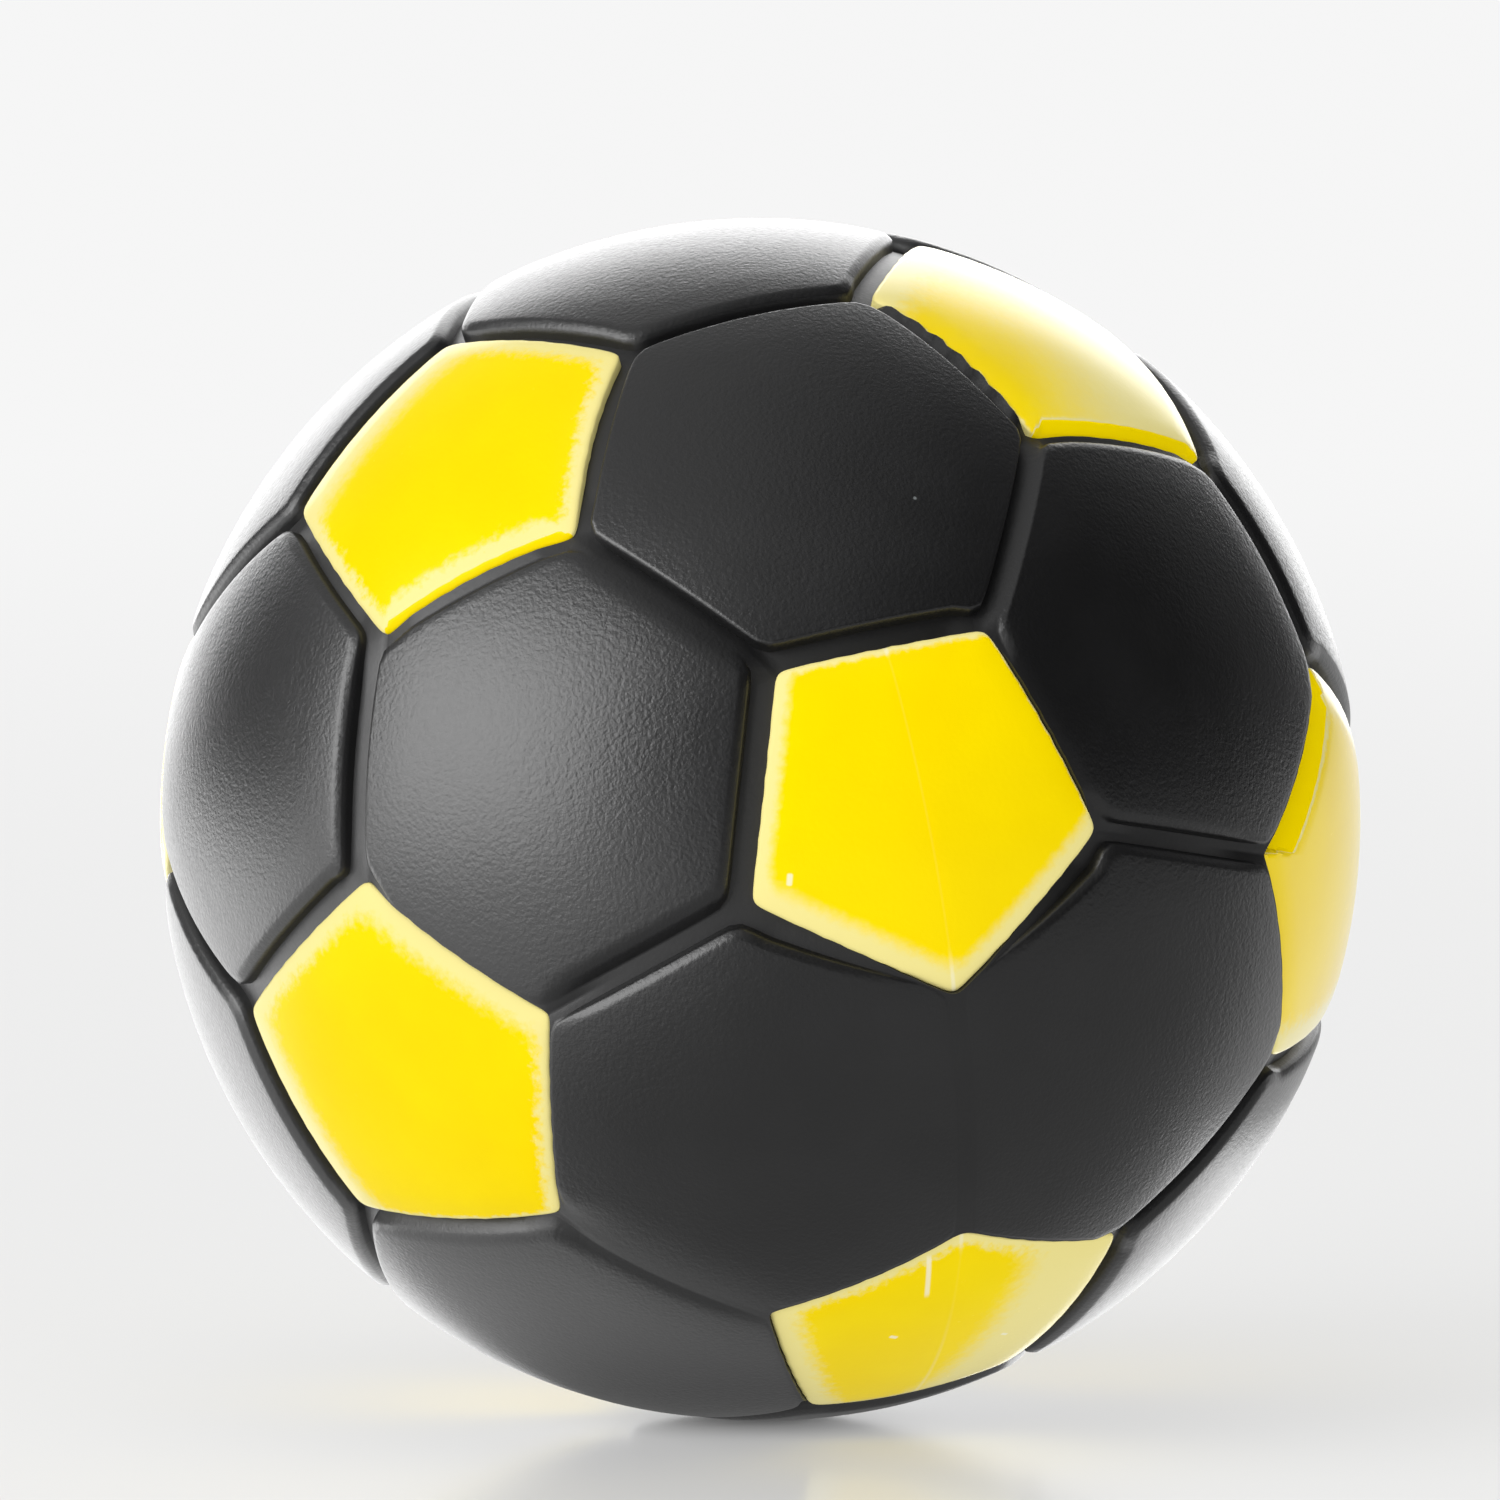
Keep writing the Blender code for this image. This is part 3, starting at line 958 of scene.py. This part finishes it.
def black_plastic():
    """Satin black with a leather grain, smoother groove floors, and a few specks of dust."""
    material, shader, place = new_material("black_plastic")
    shader.inputs["IOR"].default_value = BLACK_IOR
    groove = place.attribute("groove")
    worn = place.noise(WORN_SIZE, detail=3)
    grain = place.noise(GRAIN_SIZE, detail=2)
    pores = place.noise(PORE_SIZE, detail=2)
    cells = {"Vector": place, "Scale": DUST_CELLS}
    from_speck = place.node("ShaderNodeTexVoronoi", {}, cells)
    pick = place.node("ShaderNodeTexVoronoi", {}, cells, "Color").along((1, 0, 0))
    speck = (1 - from_speck.rise(*DUST_EDGE)) * pick.rise(*DUST_PICK)
    colour = worn.rise(*CLOUD_EDGE).mix(BLACK, BLACK_WORN)
    colour = speck.mix(colour, DUST)
    finish = GRAIN_ROUGHNESS * grain + WORN_ROUGHNESS * worn + GROOVE_ROUGHNESS * groove
    height = (grain + PORE_SHARE * pores) * (1 - GROOVE_SMOOTHNESS * groove)
    bump = raised(height, GRAIN_HEIGHT, GRAIN_STRENGTH)
    feed(shader, Base_Color=colour, Roughness=BLACK_ROUGHNESS + finish, Normal=bump)
    return material


black_skin = new_piece(
    "black_skin_moulding",
    [grid for hexagon in hexagons for grid in panel_grids(hexagon)],
    ("groove",),
    black_plastic(),
)
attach(black_skin, "root")
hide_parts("black_skin")


# Table
# The ball lies on a pale, glossy table top, which mirrors it weakly and is shaded where the two touch. Away
# from the ball the table fades into a white background.

TABLE_SIZE = 12.0
TABLE_COLOUR = (0.86, 0.86, 0.855, 1)
TABLE_ROUGHNESS = 0.16
TABLE_SPECULAR = 0.25
TABLE_FADE = (0.02, 0.5)
SHEEN_SHARE = 0.6
CONTACT_SHADE = (0.0005, 0.006)
CONTACT_SHARE = 0.85
TABLE_WHITE = 0.92
TABLE_BOUNCE = 0.82

# The table's light in reflections: dim in front of the ball and under it, and brighter to the left and
# behind, which leans to the left too
MIRRORED_DIM = 0.3
MIRRORED_LEFT = (0.006, 0.034)
MIRRORED_BACK = (-0.0125, -0.008)
MIRRORED_BACK_WAY = (-0.35, 1, 0)
MIRRORED_FOOT = (0.005, 0.013)

table_corners = np.array([[-1, -1, 0], [1, -1, 0], [1, 1, 0], [-1, 1, 0]]) * TABLE_SIZE / 2
table_mesh = bpy.data.meshes.new("table_top")
table_mesh.from_pydata(table_corners - [0, 0, BALL_RADIUS], [], [(0, 1, 2, 3)])
table_material, table_shader, table_place = new_material("table_gloss")
table_shader.inputs["Base Color"].default_value = TABLE_COLOUR
table_shader.inputs["Roughness"].default_value = TABLE_ROUGHNESS
table_shader.inputs["Specular IOR Level"].default_value = TABLE_SPECULAR
table_path = table_material.node_tree.nodes.new("ShaderNodeLightPath")
table_seen = Field(table_path.outputs["Is Camera Ray"])
table_mirrored = Field(table_path.outputs["Is Glossy Ray"])
table_bounced = Field(table_path.outputs["Is Diffuse Ray"])
from_ball = table_place.distance((0, 0, -BALL_RADIUS))
behind_ball = table_place.along(MIRRORED_BACK_WAY)
left_of_ball = table_place.along((-1, 0, 0))
contact = 1 - from_ball.rise(*CONTACT_SHADE)
fade = (1 - SHEEN_SHARE * (1 - from_ball.rise(*TABLE_FADE))) * (1 - CONTACT_SHARE * contact)
table_far = fade * table_seen + table_mirrored + table_bounced
dark_front = (1 - behind_ball.rise(*MIRRORED_BACK)) * (1 - left_of_ball.rise(*MIRRORED_LEFT))
mirrored_light = (1 - dark_front) * from_ball.rise(*MIRRORED_FOOT)
mirrored = MIRRORED_DIM + (1 - MIRRORED_DIM) * mirrored_light
table_strength = TABLE_WHITE * table_seen + mirrored * table_mirrored + TABLE_BOUNCE * table_bounced
white = table_far.node("ShaderNodeEmission", {}, {"Color": (1, 1, 1, 1), "Strength": table_strength})
table_gloss = Field(table_shader.outputs["BSDF"])
table_look = white.node("ShaderNodeMixShader", {}, {0: table_far, 1: table_gloss, 2: white})
table_output = table_material.node_tree.nodes["Material Output"]
table_material.node_tree.links.new(table_look.socket, table_output.inputs["Surface"])
table_material.cycles.emission_sampling = "NONE"
table_mesh.materials.append(table_material)
table_top = bpy.data.objects.new("table_top", table_mesh)
bpy.context.scene.collection.objects.link(table_top)


# Light
# A dim room, darkest at the right. Soft boxes stand at the front left, at the left and behind the ball, and
# two lamps without highlights light its front and its top. A bright card on the table lights the ball's
# lower edge, and a wide panel behind it shows only in the table's gloss.

ROOM_LIGHT = 0.09
CEILING_LIGHT = 0.34
DARK_SHARE = 0.9
DARK_SIDE_TURN = 95

# Where the ceiling, the dark side and the back of the room start and end, as cosines of the angle to each
CEILING_EDGE = (0.1, 1)
DARK_EDGE = (-0.3, 0.6)
BACK_EDGE = (0.2, 0.6)

world = bpy.data.worlds.new("room")
world.use_nodes = True
bpy.context.scene.world = world
background = world.node_tree.nodes["Background"]
direction = Field(world.node_tree.nodes.new("ShaderNodeTexCoord").outputs["Generated"])
seen = Field(world.node_tree.nodes.new("ShaderNodeLightPath").outputs["Is Camera Ray"])
dark_way = Matrix.Rotation(math.radians(DARK_SIDE_TURN), 3, "Z") @ Vector((0, -1, 0))
ceiling = direction.along((0, 0, 1)).rise(*CEILING_EDGE)
back = direction.along((0, 1, 0)).rise(*BACK_EDGE)
dark_side = direction.along(dark_way).rise(*DARK_EDGE) * (1 - back)
room = (ROOM_LIGHT + CEILING_LIGHT * ceiling) * (1 - DARK_SHARE * dark_side)
strength = room + seen * (TABLE_WHITE - room)
world.node_tree.links.new(strength.socket, background.inputs["Strength"])
background.inputs["Color"].default_value = (1, 1, 1, 1)


def lamp_panel(name, width, height, radiance):
    """A flat lamp whose power is its radiance times pi and its area."""
    lamp = bpy.data.lights.new(name, "AREA")
    lamp.shape = "RECTANGLE"
    lamp.size = width
    lamp.size_y = height
    lamp.energy = radiance * math.pi * width * height
    panel = bpy.data.objects.new(name, lamp)
    panel.visible_camera = False
    bpy.context.scene.collection.objects.link(panel)
    return panel


def soft_box(name, turn, rise, distance, width, height, radiance, roll=0):
    """A lamp that faces the ball from a turn to the right of the camera and a rise above the table."""
    box = lamp_panel(name, width, height, radiance)
    towards = Matrix.Rotation(math.radians(turn), 3, "Z") @ Matrix.Rotation(math.radians(-rise), 3, "X")
    box.location = towards @ Vector((0, -distance, 0))
    facing = box.location.to_track_quat("Z", "Y") @ Quaternion((0, 0, 1), math.radians(roll))
    box.rotation_euler = facing.to_euler()
    return box


# Some lamps light only the ball, and one only the table
lit_pieces = bpy.data.collections.new("lit_pieces")
lit_pieces.objects.link(yellow_core)
lit_pieces.objects.link(black_skin)
lit_table = bpy.data.collections.new("lit_table")
lit_table.objects.link(table_top)

soft_box("key_box", turn=-54, rise=18, distance=0.5, width=0.42, height=0.4, radiance=3.55)
back_box = soft_box(
    "back_box", turn=-176, rise=15, distance=0.6, width=0.72, height=0.5, radiance=4.2, roll=-20
)
back_box.light_linking.receiver_collection = lit_pieces
fill_box = soft_box("fill_box", turn=40, rise=10, distance=0.8, width=1.0, height=0.1, radiance=9.8)
fill_box.visible_glossy = False
top_box = soft_box("top_box", turn=0, rise=75, distance=0.5, width=0.5, height=0.5, radiance=1.0)
top_box.visible_glossy = False
sheen_box = soft_box("sheen_box", turn=-82, rise=14, distance=0.5, width=0.11, height=0.4, radiance=2.6)
sheen_box.visible_diffuse = False

# The card lies face up on the table: its edges to the left and right of the ball's foot and behind it
CARD_LEFT = -0.2
CARD_RIGHT = 0.0245
CARD_NEAR = 0.001
CARD_FAR = 0.601
CARD_LIFT = 0.0001
CARD_RADIANCE = 1.9
card = lamp_panel("table_card", CARD_RIGHT - CARD_LEFT, CARD_FAR - CARD_NEAR, CARD_RADIANCE)
card.location = ((CARD_LEFT + CARD_RIGHT) / 2, (CARD_NEAR + CARD_FAR) / 2, CARD_LIFT - BALL_RADIUS)
card.rotation_euler = (math.pi, 0, 0)
card.visible_diffuse = False
card.light_linking.receiver_collection = lit_pieces

glow = soft_box("table_glow", turn=180, rise=8, distance=1.5, width=3.0, height=0.45, radiance=1.0)
glow.visible_diffuse = False
glow.light_linking.receiver_collection = lit_table


# Camera
# The photograph's view: a long lens a little above the table, with the ball's centre below the frame's
# middle.

FRAME_PIXELS = 1500
BALL_PIXEL = (760.3, 819.5)
BALL_PIXEL_RADIUS = 601.5
CAMERA_DISTANCE = 20 * BALL_RADIUS
CAMERA_RISE = 5.0
SENSOR_WIDTH = 36
CLIP_START = 0.01

lens_pixels = BALL_PIXEL_RADIUS * math.sqrt((CAMERA_DISTANCE / BALL_RADIUS) ** 2 - 1)
camera_data = bpy.data.cameras.new("camera")
camera_data.sensor_width = SENSOR_WIDTH
camera_data.lens = SENSOR_WIDTH * lens_pixels / FRAME_PIXELS
camera_data.clip_start = CLIP_START
camera = bpy.data.objects.new("camera", camera_data)
camera.location = Matrix.Rotation(math.radians(-CAMERA_RISE), 3, "X") @ Vector((0, -CAMERA_DISTANCE, 0))
aside = math.atan((BALL_PIXEL[0] - FRAME_PIXELS / 2) / lens_pixels)
below = math.atan((BALL_PIXEL[1] - FRAME_PIXELS / 2) / lens_pixels)
camera.rotation_euler = (math.pi / 2 - math.radians(CAMERA_RISE) + below, 0, aside)
bpy.context.scene.collection.objects.link(camera)
bpy.context.scene.camera = camera
bpy.context.scene.view_settings.view_transform = "Standard"
